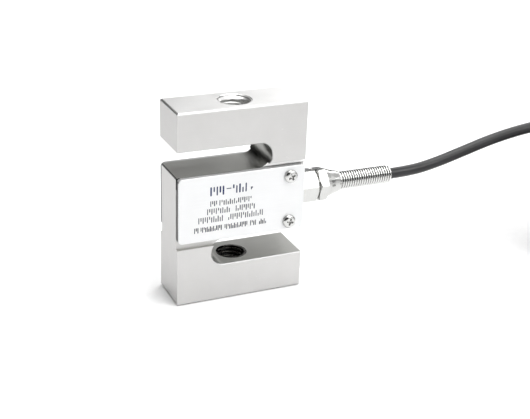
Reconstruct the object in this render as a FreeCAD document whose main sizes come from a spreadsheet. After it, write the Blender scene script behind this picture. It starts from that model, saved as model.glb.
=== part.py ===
import FreeCAD, Part
import Sketcher
import math
import os
from FreeCAD import Placement, Rotation, Vector

# S-type load cell.
#
# Frame: origin on the axis of the two mounting threads, in the bottom face.
# +Z runs up along the load axis, +X towards the side the cable leaves from,
# and -Y is the front, where the blank cover plate is.  Millimetres.

doc = FreeCAD.newDocument("s_type_load_cell")

# ---------------------------------------------------------------- sizes
sheet = doc.addObject("Spreadsheet::Sheet", "sizes")
SIZES = [
    # the steel beam
    ("beam_wide", 50.8),
    ("beam_deep", 19.05),
    ("beam_tall", 76.2),
    ("arm_thick", 14.7),
    ("slot_tall", 10.1),
    ("slot_end_x", 11.8),  # how far past the middle each slot's round end reaches
    ("end_chamfer", 0.6),  # around the two loaded faces
    ("edge_chamfer", 0.25),  # everywhere else along the outline
    ("thread_major", 12.0),  # M12 x 1.75
    ("thread_mouth", 13.3),
    ("recess_low", 23.1),
    ("recess_high", 53.1),
    ("recess_deep", 1.5),
    ("gauge_bore", 22.0),
    ("web_thick", 2.4),
    ("passage_bore", 5.0),
    ("passage_end_x", 8.0),
    ("gland_thread", 9.2),
    ("gland_thread_deep", 8.0),
    ("screw_x", 19.3),
    ("screw_rise", 9.2),  # above and below mid-height
    ("screw_thread", 3.0),
    ("tapped_deep", 6.0),
    # the two cover plates
    ("plate_wide", 50.4),
    ("plate_low", 25.6),
    ("plate_high", 51.3),
    ("plate_thick", 2.0),
    ("plate_corner", 1.8),
    ("plate_hole", 3.4),
    ("plate_break", 0.2),
    # their screws
    ("head_wide", 5.2),
    ("head_tall", 1.55),
    ("shank_long", 6.5),
    ("cross_long", 3.0),
    ("cross_wide", 0.7),
    ("cross_deep", 0.85),
    # inside the gauge pockets
    ("carrier_wide", 5.4),
    ("carrier_tall", 6.0),
    ("carrier_thick", 0.1),
    ("carrier_gap", 0.6),
    ("board_wide", 10.0),
    ("board_tall", 3.6),
    ("board_thick", 1.0),
    ("board_drop", 7.0),
    ("pad_wide", 1.0),
    ("pad_tall", 0.4),
    ("potting_thick", 5.6),
    # the cable gland, lengths measured from the beam's side face
    ("washer_thick", 0.6),
    ("washer_wide", 11.4),
    ("hex_flats", 12.0),
    ("body_hex_long", 7.8),
    ("shank_into_beam", 7.0),
    ("gland_bore", 4.8),
    ("gland_neck", 9.5),
    ("neck_end", 14.8),
    ("seat_bore", 7.2),
    ("seat_start", 10.6),
    ("nut_start", 9.1),
    ("nut_hex_end", 12.9),
    ("dome_end", 19.4),
    ("dome_tip", 8.2),
    ("spring_seat", 16.2),
    ("spring_end", 42.4),
    ("spring_wide", 7.2),
    ("spring_wire", 0.94),
    # the cable
    ("cable_wide", 4.4),
    ("cable_start", -10.0),
    ("core_wide", 1.0),
    # the put-away coil
    ("coil_x", 165.4),
    ("coil_y", -30.0),
    ("coil_low", 0.9),
    ("coil_inner", 18.4),
    ("coil_outer", 31.6),
    ("coil_high", 27.3),
    ("tie_wide", 3.6),
    ("tie_thick", 0.9),
    ("lead_wide", 1.1),
]
for row, (alias, value) in enumerate(SIZES, start=1):
    sheet.set("A%d" % row, alias)
    sheet.set("B%d" % row, repr(float(value)))
    sheet.setAlias("B%d" % row, alias)
doc.recompute()


def size(alias):
    """A number from the sheet."""
    return float(sheet.get(alias))


# ---------------------------------------------------------------- helpers
PARTS = []


def keep(obj, label):
    """Marks an object as one of the sub-parts, under its own label."""
    obj.Label = label
    PARTS.append(obj)
    return obj


def body(name):
    return doc.addObject("PartDesign::Body", name)


def sketch(owner, name, plane, lift=None):
    """A sketch on one of the body's own origin planes; lift moves it along its normal."""
    sk = owner.newObject("Sketcher::SketchObject", name)
    face = [o for o in owner.Origin.OriginFeatures if o.Role == plane][0]
    sk.AttachmentSupport = (face, [""])
    sk.MapMode = "FlatFace"
    if lift:
        sk.setExpression("AttachmentOffset.Base.z", lift)
    return sk


def pin(sk, axis, geo, pos, name, value, expression):
    """Ties one point's distance from the sketch's origin to the sheet."""
    index = sk.addConstraint(
        Sketcher.Constraint("Distance" + axis, -1, 1, geo, pos, value)
    )
    sk.renameConstraint(index, name)
    sk.setExpression("Constraints." + name, expression)


def polygon(sk, points):
    """A closed chain of lines.  Each point is (x, y, x expression, y expression)."""
    count = len(points)
    first = sk.GeometryCount
    for i in range(count):
        a, b = points[i], points[(i + 1) % count]
        sk.addGeometry(
            Part.LineSegment(Vector(a[0], a[1], 0), Vector(b[0], b[1], 0)), False
        )
    for i in range(count):
        sk.addConstraint(
            Sketcher.Constraint(
                "Coincident", first + i, 2, first + (i + 1) % count, 1
            )
        )
    for i, (x, y, fx, fy) in enumerate(points):
        pin(sk, "X", first + i, 1, "px%d" % (first + i), x, fx)
        pin(sk, "Y", first + i, 1, "py%d" % (first + i), y, fy)


def rectangle(sk, x0, y0, x1, y1):
    """Each side is a pair: value, expression."""
    polygon(
        sk,
        [
            (x0[0], y0[0], x0[1], y0[1]),
            (x1[0], y0[0], x1[1], y0[1]),
            (x1[0], y1[0], x1[1], y1[1]),
            (x0[0], y1[0], x0[1], y1[1]),
        ],
    )


def circle(sk, x, y, dia, fx, fy, fdia):
    geo = sk.addGeometry(
        Part.Circle(Vector(x, y, 0), Vector(0, 0, 1), dia / 2.0), False
    )
    index = sk.addConstraint(Sketcher.Constraint("Diameter", geo, dia))
    name = "dia%d" % geo
    sk.renameConstraint(index, name)
    sk.setExpression("Constraints." + name, fdia)
    pin(sk, "X", geo, 3, "cx%d" % geo, x, fx)
    pin(sk, "Y", geo, 3, "cy%d" % geo, y, fy)


def pad(owner, name, profile, length, symmetric=False, reverse=False):
    feature = owner.newObject("PartDesign::Pad", name)
    feature.Profile = profile
    feature.setExpression("Length", length)
    if symmetric:
        feature.SideType = "Symmetric"
    feature.Reversed = reverse
    profile.Visibility = False
    doc.recompute()
    return feature


def pocket(owner, name, profile, length, reverse=False):
    """A pocket that has to take material away, and says so if it doesn't."""
    before = owner.Shape.Volume
    feature = owner.newObject("PartDesign::Pocket", name)
    feature.Profile = profile
    feature.setExpression("Length", length)
    feature.Reversed = reverse
    profile.Visibility = False
    doc.recompute()
    taken = before - owner.Shape.Volume
    if taken < 1e-3:
        raise RuntimeError("%s cuts nothing" % name)
    print("%-26s takes %9.3f mm3" % (name, taken))
    return feature


def edges_where(shape, test):
    """Names of the edges whose every sampled point passes the test."""
    names = []
    for i, edge in enumerate(shape.Edges, start=1):
        a, b = edge.ParameterRange
        points = [edge.valueAt(a + (b - a) * k / 4.0) for k in range(5)]
        if all(test(p) for p in points):
            names.append("Edge%d" % i)
    return names


def chamfer(owner, name, names, length):
    base = owner.Tip
    feature = owner.newObject("PartDesign::Chamfer", name)
    feature.Base = (base, names)
    feature.setExpression("Size", length)
    doc.recompute()
    return feature


def revolve(owner, name, profile, axis):
    feature = owner.newObject("PartDesign::Revolution", name)
    feature.Profile = profile
    line = [o for o in owner.Origin.OriginFeatures if o.Role == axis][0]
    feature.ReferenceAxis = (line, [""])
    feature.Angle = 360.0
    profile.Visibility = False
    doc.recompute()
    return feature


def solid_feature(name, label, shape, place=None):
    """A piece whose shape is built directly from sheet sizes."""
    obj = doc.addObject("Part::Feature", name)
    obj.Shape = shape
    obj.Placement = place if place else Placement()
    return keep(obj, label)


def route(points):
    """Straight runs joined by tangent arcs: the wire, each arc's radius, and the length."""
    points = [Vector(*p) for p in points]
    edges, radii, start = [], [], points[0]
    length = 0.0
    for i in range(1, len(points) - 1):
        into, out = points[i] - points[i - 1], points[i + 1] - points[i]
        turn = into.getAngle(out)
        radius = 0.45 * min(into.Length, out.Length) / math.tan(turn / 2.0)
        back = radius * math.tan(turn / 2.0)
        into.normalize()
        out.normalize()
        a, b = points[i] - into * back, points[i] + out * back
        inward = out - into
        inward.normalize()
        apex = points[i] + inward * (radius / math.cos(turn / 2.0) - radius)
        edges.append(Part.LineSegment(start, a).toShape())
        edges.append(Part.Arc(a, apex, b).toShape())
        radii.append(radius)
        start = b
    edges.append(Part.LineSegment(start, points[-1]).toShape())
    length = sum(e.Length for e in edges)
    return Part.Wire(edges), radii, length


def tube(points, diameter, name):
    """A round tube swept along a route, with its volume compared with section times length."""
    path, radii, length = route(points)
    start = path.Edges[0]
    direction = start.tangentAt(start.FirstParameter)
    ring = Part.Wire(
        [Part.makeCircle(diameter / 2.0, Vector(*points[0]), direction)]
    )
    shape = path.makePipeShell([ring], True, False)
    if shape.ShapeType != "Solid":
        shape = shape.Solids[0]
    want = math.pi * diameter * diameter / 4.0 * length
    print(
        "%-18s length %8.2f  volume %9.2f of %9.2f  radii %s"
        % (name, length, shape.Volume, want, " ".join("%.1f" % r for r in radii))
    )
    if abs(shape.Volume - want) > 0.01 * want:
        raise RuntimeError("%s: volume is off" % name)
    return shape


half_wide, half_deep = size("beam_wide") / 2, size("beam_deep") / 2
tall = size("beam_tall")
mid = tall / 2

# ---------------------------------------------------------------- the S beam
# One steel block: two arms joined to a middle bar at opposite ends, with a
# round-ended slot between each arm and the bar.
beam = body("beam_body")
outline = sketch(beam, "beam_outline", "XZ_Plane")
arm, gap, reach = size("arm_thick"), size("slot_tall"), size("slot_end_x")
rad = gap / 2
upper_mid, lower_mid = tall - arm - rad, arm + rad
W2, T = "sizes.beam_wide/2", "sizes.beam_tall"
ARM, GAP, REACH = "sizes.arm_thick", "sizes.slot_tall", "sizes.slot_end_x"


def line(x0, y0, x1, y1):
    return outline.addGeometry(
        Part.LineSegment(Vector(x0, y0, 0), Vector(x1, y1, 0)), False
    )


def half_arc(cx, cy, r, a0, a1):
    return outline.addGeometry(
        Part.ArcOfCircle(
            Part.Circle(Vector(cx, cy, 0), Vector(0, 0, 1), r), a0, a1
        ),
        False,
    )


hw = half_wide
cx = reach - rad
# bottom, right side of the lower arm, lower slot (open to the right), right
# side of the middle bar and upper column, top, then the left side likewise
chain = [
    ("L", line(-hw, 0, hw, 0)),
    ("L", line(hw, 0, hw, arm)),
    ("L", line(hw, arm, -cx, arm)),
    ("A", half_arc(-cx, lower_mid, rad, math.pi / 2, 3 * math.pi / 2)),
    ("L", line(-cx, arm + gap, hw, arm + gap)),
    ("L", line(hw, arm + gap, hw, tall)),
    ("L", line(hw, tall, -hw, tall)),
    ("L", line(-hw, tall, -hw, tall - arm)),
    ("L", line(-hw, tall - arm, cx, tall - arm)),
    ("A", half_arc(cx, upper_mid, rad, -math.pi / 2, math.pi / 2)),
    ("L", line(cx, tall - arm - gap, -hw, tall - arm - gap)),
    ("L", line(-hw, tall - arm - gap, -hw, 0)),
]
C = Sketcher.Constraint
# the arcs run counter-clockwise: the lower slot's from its ceiling round to
# its floor, the upper slot's from its floor round to its ceiling
for a, pa, b, pb in [
    (0, 2, 1, 1),
    (1, 2, 2, 1),
    (2, 2, 3, 2),
    (3, 1, 4, 1),
    (4, 2, 5, 1),
    (5, 2, 6, 1),
    (6, 2, 7, 1),
    (7, 2, 8, 1),
    (8, 2, 9, 2),
    (9, 1, 10, 1),
    (10, 2, 11, 1),
    (11, 2, 0, 1),
]:
    outline.addConstraint(C("Coincident", chain[a][1], pa, chain[b][1], pb))
pin(outline, "X", 0, 1, "bottom_left_x", -hw, "-" + W2)
pin(outline, "Y", 0, 1, "bottom_left_y", 0, "0 * " + T)
pin(outline, "X", 0, 2, "bottom_right_x", hw, W2)
pin(outline, "Y", 0, 2, "bottom_right_y", 0, "0 * " + T)
pin(outline, "X", 1, 2, "lower_arm_x", hw, W2)
pin(outline, "Y", 1, 2, "lower_arm_y", arm, ARM)
pin(outline, "X", 3, 3, "lower_end_x", -cx, "-(%s - %s/2)" % (REACH, GAP))
pin(outline, "Y", 3, 3, "lower_end_y", lower_mid, "%s + %s/2" % (ARM, GAP))
pin(outline, "X", 2, 2, "lower_floor_x", -cx, "-(%s - %s/2)" % (REACH, GAP))
pin(outline, "Y", 2, 2, "lower_floor_y", arm, ARM)
pin(outline, "X", 4, 1, "lower_ceiling_x", -cx, "-(%s - %s/2)" % (REACH, GAP))
pin(outline, "X", 4, 2, "right_side_x", hw, W2)
pin(outline, "Y", 4, 2, "right_side_y", arm + gap, "%s + %s" % (ARM, GAP))
pin(outline, "X", 6, 1, "top_right_x", hw, W2)
pin(outline, "Y", 6, 1, "top_right_y", tall, T)
pin(outline, "X", 6, 2, "top_left_x", -hw, "-" + W2)
pin(outline, "Y", 6, 2, "top_left_y", tall, T)
pin(outline, "X", 7, 2, "upper_arm_x", -hw, "-" + W2)
pin(outline, "Y", 7, 2, "upper_arm_y", tall - arm, "%s - %s" % (T, ARM))
pin(outline, "X", 9, 3, "upper_end_x", cx, "%s - %s/2" % (REACH, GAP))
pin(
    outline, "Y", 9, 3, "upper_end_y", upper_mid, "%s - %s - %s/2" % (T, ARM, GAP)
)
pin(outline, "X", 8, 2, "upper_ceiling_x", cx, "%s - %s/2" % (REACH, GAP))
pin(outline, "Y", 8, 2, "upper_ceiling_y", tall - arm, "%s - %s" % (T, ARM))
pin(outline, "X", 10, 1, "upper_floor_x", cx, "%s - %s/2" % (REACH, GAP))
pin(outline, "X", 10, 2, "left_side_x", -hw, "-" + W2)
pin(
    outline, "Y", 10, 2, "left_side_y", tall - arm - gap,
    "%s - %s - %s" % (T, ARM, GAP),
)
pad(beam, "beam_block", outline, "sizes.beam_deep", symmetric=True)

# the two loaded faces are broken all round, the rest of the outline a little
ring = edges_where(
    beam.Shape, lambda p: abs(p.z) < 1e-6 or abs(p.z - tall) < 1e-6
)
chamfer(beam, "loaded_face_chamfers", ring, "sizes.end_chamfer")
rim = edges_where(
    beam.Shape,
    lambda p: abs(abs(p.y) - half_deep) < 1e-6
    and size("end_chamfer") - 1e-6 <= p.z <= tall - size("end_chamfer") + 1e-6
    and not (
        abs(p.z - size("end_chamfer")) < 1e-6
        or abs(p.z - tall + size("end_chamfer")) < 1e-6
    )
    or abs(abs(p.y) - half_deep) < 1e-6
    and size("end_chamfer") < p.z < tall - size("end_chamfer"),
)
rim = [
    n
    for n in rim
    if beam.Shape.getElement(n).BoundBox.ZLength > 1e-6
    or size("end_chamfer") + 1e-3
    < beam.Shape.getElement(n).BoundBox.ZMin
    < tall - size("end_chamfer") - 1e-3
]
chamfer(beam, "outline_chamfers", rim, "sizes.edge_chamfer")

# M12 mounting threads, through each arm on the load axis, opened at the mouth
for name, lift, turned in [
    ("lower_thread", None, True),
    ("upper_thread", T, False),
]:
    sk = sketch(beam, name + "_circle", "XY_Plane", lift)
    circle(
        sk, 0, 0, size("thread_major"), "0 * " + T, "0 * " + T,
        "sizes.thread_major",
    )
    pocket(beam, name, sk, ARM, reverse=turned)
mouths = []
for i, edge in enumerate(beam.Shape.Edges, start=1):
    if (
        isinstance(edge.Curve, Part.Circle)
        and abs(edge.Curve.Radius - size("thread_major") / 2) < 1e-6
        and abs(edge.Curve.Center.x) < 1e-6
        and min(abs(edge.Curve.Center.z), abs(edge.Curve.Center.z - tall)) < 1e-6
    ):
        mouths.append("Edge%d" % i)
chamfer(
    beam, "thread_mouths", mouths, "(sizes.thread_mouth - sizes.thread_major)/2"
)

# front and rear: a full-width recess for the cover plate, a blind gauge
# pocket that leaves a thin web, and two tapped holes
ZERO = "0 * " + T
for side, lift, turned in [
    ("front", "sizes.beam_deep/2", False),
    ("rear", "-sizes.beam_deep/2", True),
]:
    sk = sketch(beam, side + "_recess_outline", "XZ_Plane", lift)
    over = 2.0
    rectangle(
        sk,
        (-hw - over, "-%s - %g" % (W2, over)),
        (size("recess_low"), "sizes.recess_low"),
        (hw + over, "%s + %g" % (W2, over)),
        (size("recess_high"), "sizes.recess_high"),
    )
    pocket(beam, side + "_recess", sk, "sizes.recess_deep", reverse=turned)
    sk = sketch(beam, side + "_gauge_circle", "XZ_Plane", lift)
    circle(sk, 0, mid, size("gauge_bore"), ZERO, T + "/2", "sizes.gauge_bore")
    pocket(
        beam, side + "_gauge_pocket", sk,
        "(sizes.beam_deep - sizes.web_thick)/2", reverse=turned,
    )
    sk = sketch(beam, side + "_tapped_circles", "XZ_Plane", lift)
    for sign, word in ((1, "+"), (-1, "-")):
        circle(
            sk,
            size("screw_x"),
            mid + sign * size("screw_rise"),
            size("screw_thread"),
            "sizes.screw_x",
            "%s/2 %s sizes.screw_rise" % (T, word),
            "sizes.screw_thread",
        )
    pocket(
        beam, side + "_tapped_holes", sk,
        "sizes.tapped_deep + sizes.recess_deep", reverse=turned,
    )

# the cable's way in: a tapped mouth for the gland, then a plain passage into
# both gauge pockets
sk = sketch(beam, "gland_circle", "YZ_Plane", W2)
circle(sk, 0, mid, size("gland_thread"), ZERO, T + "/2", "sizes.gland_thread")
pocket(beam, "gland_hole", sk, "sizes.gland_thread_deep")
sk = sketch(beam, "passage_circle", "YZ_Plane", W2)
circle(sk, 0, mid, size("passage_bore"), ZERO, T + "/2", "sizes.passage_bore")
pocket(beam, "cable_passage", sk, W2 + " - sizes.passage_end_x")
keep(beam, "s_beam")

# ---------------------------------------------------------------- cover plates
low, high = size("plate_low"), size("plate_high")
for side in ("front", "rear"):
    plate = body(side + "_plate_body")
    sk = sketch(plate, side + "_plate_outline", "XZ_Plane")
    rectangle(
        sk,
        (-size("plate_wide") / 2, "-sizes.plate_wide/2"),
        (low, "sizes.plate_low"),
        (size("plate_wide") / 2, "sizes.plate_wide/2"),
        (high, "sizes.plate_high"),
    )
    for sign, word in ((1, "+"), (-1, "-")):
        circle(
            sk,
            size("screw_x"),
            mid + sign * size("screw_rise"),
            size("plate_hole"),
            "sizes.screw_x",
            "%s/2 %s sizes.screw_rise" % (T, word),
            "sizes.plate_hole",
        )
    out = -1 if side == "front" else 1
    pad(
        plate, side + "_plate_sheet", sk, "sizes.plate_thick",
        reverse=side == "rear",
    )
    uprights = edges_where(
        plate.Shape,
        lambda p: abs(abs(p.x) - size("plate_wide") / 2) < 1e-6
        and (abs(p.z - low) < 1e-6 or abs(p.z - high) < 1e-6),
    )
    feature = plate.newObject("PartDesign::Fillet", side + "_plate_corners")
    feature.Base = (doc.getObject(side + "_plate_sheet"), uprights)
    feature.setExpression("Radius", "sizes.plate_corner")
    doc.recompute()
    outer_rim = edges_where(
        plate.Shape,
        lambda p: abs(p.y - out * size("plate_thick")) < 1e-6
        and not any(
            abs(
                math.hypot(p.x - size("screw_x"), p.z - mid - k * size("screw_rise"))
                - size("plate_hole") / 2
            )
            < 1e-3
            for k in (1, -1)
        ),
    )
    chamfer(plate, side + "_plate_rim", outer_rim, "sizes.plate_break")
    # each sheet grows outwards from the floor of its recess
    floor = half_deep - size("recess_deep")
    plate.Placement = Placement(Vector(0, out * floor, 0), Rotation())
    keep(plate, side + "_cover_plate")

# ---------------------------------------------------------------- cover screws
# M3 pan heads with a cross recess; each pair is one group of separate solids
head = body("screw_body")
sk = sketch(head, "screw_profile", "XZ_Plane")
hr, ht, sr, sl = (
    size("head_wide") / 2,
    size("head_tall"),
    size("screw_thread") / 2,
    size("shank_long"),
)
polygon(
    sk,
    [
        (0, -sl, ZERO, "-sizes.shank_long"),
        (sr - 0.4, -sl, "sizes.screw_thread/2 - 0.4", "-sizes.shank_long"),
        (sr, -sl + 0.4, "sizes.screw_thread/2", "-sizes.shank_long + 0.4"),
        (sr, 0, "sizes.screw_thread/2", ZERO),
        (hr, 0, "sizes.head_wide/2", ZERO),
        (hr, 0.45 * ht, "sizes.head_wide/2", "0.45 * sizes.head_tall"),
        (hr - 0.22, 0.78 * ht, "sizes.head_wide/2 - 0.22", "0.78 * sizes.head_tall"),
        (hr - 0.75, ht, "sizes.head_wide/2 - 0.75", "sizes.head_tall"),
        (0, ht, ZERO, "sizes.head_tall"),
    ],
)
revolve(head, "screw_turning", sk, "Z_Axis")
sk = sketch(head, "cross_a", "XY_Plane", "sizes.head_tall")
cl, cw = size("cross_long") / 2, size("cross_wide") / 2
CL, CW = "sizes.cross_long/2", "sizes.cross_wide/2"
polygon(
    sk,
    [
        (cl, -cw, CL, "-" + CW),
        (cl, cw, CL, CW),
        (cw, cw, CW, CW),
        (cw, cl, CW, CL),
        (-cw, cl, "-" + CW, CL),
        (-cw, cw, "-" + CW, CW),
        (-cl, cw, "-" + CL, CW),
        (-cl, -cw, "-" + CL, "-" + CW),
        (-cw, -cw, "-" + CW, "-" + CW),
        (-cw, -cl, "-" + CW, "-" + CL),
        (cw, -cl, CW, "-" + CL),
        (cw, -cw, CW, "-" + CW),
    ],
)
pocket(head, "cross_recess", sk, "sizes.cross_deep")
TURNS = {"front": (28.0, -14.0), "rear": (5.0, 51.0)}
seat = half_deep - size("recess_deep") + size("plate_thick")
for side in ("front", "rear"):
    solids = []
    for sign, turn in zip((1, -1), TURNS[side]):
        one = head.Shape.copy()
        spin = Rotation(Vector(0, 0, 1), turn)
        if side == "front":
            lay = Rotation(Vector(1, 0, 0), 90)  # head towards -Y
            y = -seat
        else:
            lay = Rotation(Vector(1, 0, 0), -90)
            y = seat
        one.Placement = Placement(
            Vector(size("screw_x"), y, mid + sign * size("screw_rise")),
            lay.multiply(spin),
        )
        solids.append(one)
    solid_feature(
        side + "_screws", side + "_cover_screws", Part.makeCompound(solids)
    )

# ---------------------------------------------------------------- gauges
# Two foil gauge carriers side by side on each face of the web, and under them
# a small terminal board with solder pads.
web = size("web_thick") / 2
cw_, ct_, cth, cg = (
    size("carrier_wide"),
    size("carrier_tall"),
    size("carrier_thick"),
    size("carrier_gap"),
)
board_top = mid - size("board_drop") + size("board_tall") / 2
inside = {"front": [], "rear": []}
for side, s in (("front", -1), ("rear", 1)):
    boxes = []
    for x0 in (-cg / 2 - cw_, cg / 2):
        y0 = s * web if s > 0 else -web - cth
        boxes.append(Part.makeBox(cw_, cth, ct_, Vector(x0, y0, mid - ct_ / 2)))
    gauges = solid_feature(
        side + "_gauges", side + "_strain_gauges", Part.makeCompound(boxes)
    )
    bt = size("board_thick")
    y0 = web if s > 0 else -web - bt
    board = Part.makeBox(
        size("board_wide"),
        bt,
        size("board_tall"),
        Vector(-size("board_wide") / 2, y0, board_top - size("board_tall")),
    )
    for x in (-3.6, -1.2, 1.2, 3.6):
        board = board.fuse(
            Part.makeCylinder(
                size("pad_wide") / 2,
                size("pad_tall"),
                Vector(x, s * (web + bt), mid - size("board_drop")),
                Vector(0, s, 0),
            )
        )
    terminal = solid_feature(side + "_board", side + "_terminal_board", board)
    # flat leads, lying on each carrier's lower end and soldered to the board's
    # upper edge
    wires = []
    for gx in (-cg / 2 - cw_ / 2, cg / 2 + cw_ / 2):
        for dx in (-0.9, 0.9):
            y0 = web + cth if s > 0 else -web - cth - 0.15
            wires.append(
                Part.makeBox(
                    0.3,
                    0.15,
                    mid - ct_ / 2 + 0.7 - board_top,
                    Vector(gx + dx - 0.15, y0, board_top),
                )
            )
    leads = solid_feature(
        side + "_gauge_lead_set", side + "_gauge_leads", Part.makeCompound(wires)
    )
    inside[side] += [gauges, terminal, leads]

# ---------------------------------------------------------------- cable gland
# Turned and milled about the X axis, so each piece is a profile in the XZ
# plane spun round its own Z axis and laid over onto +X.
side_face = half_wide
lay_x = Rotation(Vector(0, 1, 0), 90)
gland_place = Placement(Vector(side_face, 0, mid), lay_x)


def turned(name, rows):
    """A body of revolution from (radius, along) rows, each with its expressions."""
    owner = body(name + "_body")
    sk = sketch(owner, name + "_profile", "XZ_Plane")
    polygon(sk, rows)
    revolve(owner, name + "_turning", sk, "Z_Axis")
    return owner


def hexagon(name, flats, spin):
    """A long hexagonal bar about Z, turned by spin degrees."""
    r = flats / math.sqrt(3)
    points = [
        Vector(
            r * math.cos(math.radians(60 * k + spin)),
            r * math.sin(math.radians(60 * k + spin)),
            -60,
        )
        for k in range(7)
    ]
    return Part.Face(Part.makePolygon(points)).extrude(Vector(0, 0, 120))


washer = turned(
    "washer",
    [
        (size("gland_thread") / 2, 0, "sizes.gland_thread/2", ZERO),
        (size("washer_wide") / 2, 0, "sizes.washer_wide/2", ZERO),
        (size("washer_wide") / 2, size("washer_thick"), "sizes.washer_wide/2",
         "sizes.washer_thick"),
        (size("gland_thread") / 2, size("washer_thick"), "sizes.gland_thread/2",
         "sizes.washer_thick"),
    ],
)
washer.Placement = gland_place
keep(washer, "gland_sealing_washer")

corner = size("hex_flats") / math.sqrt(3)
corner_e = "sizes.hex_flats/sqrt(3)"
flat_r = size("hex_flats") / 2
flat_e = "sizes.hex_flats/2"
w0 = size("washer_thick")
w1 = w0 + size("body_hex_long")
W1 = "sizes.washer_thick + sizes.body_hex_long"
blend = corner - flat_r + 0.05
lift = 0.5 * blend
turn_body = turned(
    "gland_body",
    [
        (size("gland_bore") / 2, -size("shank_into_beam"), "sizes.gland_bore/2",
         "-sizes.shank_into_beam"),
        (size("gland_thread") / 2, -size("shank_into_beam"),
         "sizes.gland_thread/2", "-sizes.shank_into_beam"),
        (size("gland_thread") / 2, w0, "sizes.gland_thread/2",
         "sizes.washer_thick"),
        (flat_r - 0.05, w0, flat_e + " - 0.05", "sizes.washer_thick"),
        (corner, w0 + lift, corner_e, "sizes.washer_thick + %g" % lift),
        (corner, w1 - lift, corner_e, W1 + " - %g" % lift),
        (flat_r - 0.05, w1, flat_e + " - 0.05", W1),
        (size("gland_neck") / 2, w1, "sizes.gland_neck/2", W1),
        (size("gland_neck") / 2, size("neck_end"), "sizes.gland_neck/2",
         "sizes.neck_end"),
        (size("seat_bore") / 2, size("neck_end"), "sizes.seat_bore/2",
         "sizes.neck_end"),
        (size("seat_bore") / 2, size("seat_start"), "sizes.seat_bore/2",
         "sizes.seat_start"),
        (size("gland_bore") / 2, size("seat_start"), "sizes.gland_bore/2",
         "sizes.seat_start"),
    ],
)
# both hexagons stop at the same few degrees past square to the beam
bar = doc.addObject("Part::Feature", "hex_bar_body")
bar.Shape = hexagon("hex_bar", size("hex_flats"), 18.0)
gland_body = doc.addObject("Part::MultiCommon", "gland_body_cut")
gland_body.Shapes = [turn_body, bar]
gland_body.Placement = gland_place
doc.recompute()
keep(gland_body, "gland_body")

grommet = turned(
    "grommet",
    [
        (size("cable_wide") / 2, size("seat_start"), "sizes.cable_wide/2",
         "sizes.seat_start"),
        (size("seat_bore") / 2, size("seat_start"), "sizes.seat_bore/2",
         "sizes.seat_start"),
        (size("seat_bore") / 2, size("neck_end"), "sizes.seat_bore/2",
         "sizes.neck_end"),
        (size("cable_wide") / 2, size("neck_end"), "sizes.cable_wide/2",
         "sizes.neck_end"),
    ],
)
grommet.Placement = gland_place
keep(grommet, "cable_grommet")

n0, n1, n2 = size("nut_start"), size("nut_hex_end"), size("dome_end")
tip = size("dome_tip") / 2
shoulder = flat_r - 0.1
turn_nut = turned(
    "gland_nut",
    [
        (size("gland_neck") / 2, n0, "sizes.gland_neck/2", "sizes.nut_start"),
        (flat_r - 0.05, n0, flat_e + " - 0.05", "sizes.nut_start"),
        (corner, n0 + lift, corner_e, "sizes.nut_start + %g" % lift),
        (corner, n1 - lift, corner_e, "sizes.nut_hex_end - %g" % lift),
        (shoulder, n1, flat_e + " - 0.1", "sizes.nut_hex_end"),
        (shoulder - 0.42, n1 + 1.5, flat_e + " - 0.52",
         "sizes.nut_hex_end + 1.5"),
        (shoulder - 1.02, n1 + 3.2, flat_e + " - 1.12",
         "sizes.nut_hex_end + 3.2"),
        (tip + 0.28, n2 - 1.2, "sizes.dome_tip/2 + 0.28",
         "sizes.dome_end - 1.2"),
        (tip, n2 - 0.35, "sizes.dome_tip/2", "sizes.dome_end - 0.35"),
        (tip - 0.3, n2, "sizes.dome_tip/2 - 0.3", "sizes.dome_end"),
        (size("spring_wide") / 2 + 0.05, n2, "sizes.spring_wide/2 + 0.05",
         "sizes.dome_end"),
        (size("spring_wide") / 2 + 0.05, size("spring_seat"),
         "sizes.spring_wide/2 + 0.05", "sizes.spring_seat"),
        (size("gland_bore") / 2, size("spring_seat"), "sizes.gland_bore/2",
         "sizes.spring_seat"),
        (size("gland_bore") / 2, size("neck_end"), "sizes.gland_bore/2",
         "sizes.neck_end"),
        (size("gland_neck") / 2, size("neck_end"), "sizes.gland_neck/2",
         "sizes.neck_end"),
    ],
)
bar2 = doc.addObject("Part::Feature", "hex_bar_nut")
bar2.Shape = hexagon("hex_bar", size("hex_flats"), 18.0)
gland_nut = doc.addObject("Part::MultiCommon", "gland_nut_cut")
gland_nut.Shapes = [turn_nut, bar2]
gland_nut.Placement = gland_place
doc.recompute()
keep(gland_nut, "gland_cap_nut")

# the close-wound spring that keeps the cable from kinking, as a sleeve with
# the outline of its turns
wire, outer = size("spring_wire"), size("spring_wide") / 2
begin, stop = size("spring_seat"), size("spring_end")
turns = int(round((stop - begin) / wire))
pitch = (stop - begin) / turns
sag = 0.30 * wire
edges = []
for k in range(turns):
    a = begin + k * pitch
    edges.append(
        Part.Arc(
            Vector(outer - sag, 0, a),
            Vector(outer, 0, a + pitch / 2),
            Vector(outer - sag, 0, a + pitch),
        ).toShape()
    )
inner = outer - wire
edges.append(
    Part.LineSegment(Vector(outer - sag, 0, stop), Vector(inner, 0, stop)).toShape()
)
edges.append(
    Part.LineSegment(Vector(inner, 0, stop), Vector(inner, 0, begin)).toShape()
)
edges.append(
    Part.LineSegment(
        Vector(inner, 0, begin), Vector(outer - sag, 0, begin)
    ).toShape()
)
spring = Part.Face(Part.Wire(edges)).revolve(
    Vector(0, 0, 0), Vector(0, 0, 1), 360
)
solid_feature("spring_sleeve", "strain_relief_spring", spring, gland_place)

# ---------------------------------------------------------------- cable
# the jacketed stretch held by the gland, from the gauge pocket to the spring's
# mouth
cable = doc.addObject("Part::Cylinder", "cable_in_gland")
cable.setExpression("Radius", "sizes.cable_wide/2")
cable.setExpression("Height", "sizes.spring_end - sizes.cable_start")
cable.Placement = Placement(
    Vector(side_face + size("cable_start"), 0, mid), lay_x
)
doc.recompute()
keep(cable, "cable_entry")

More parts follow.
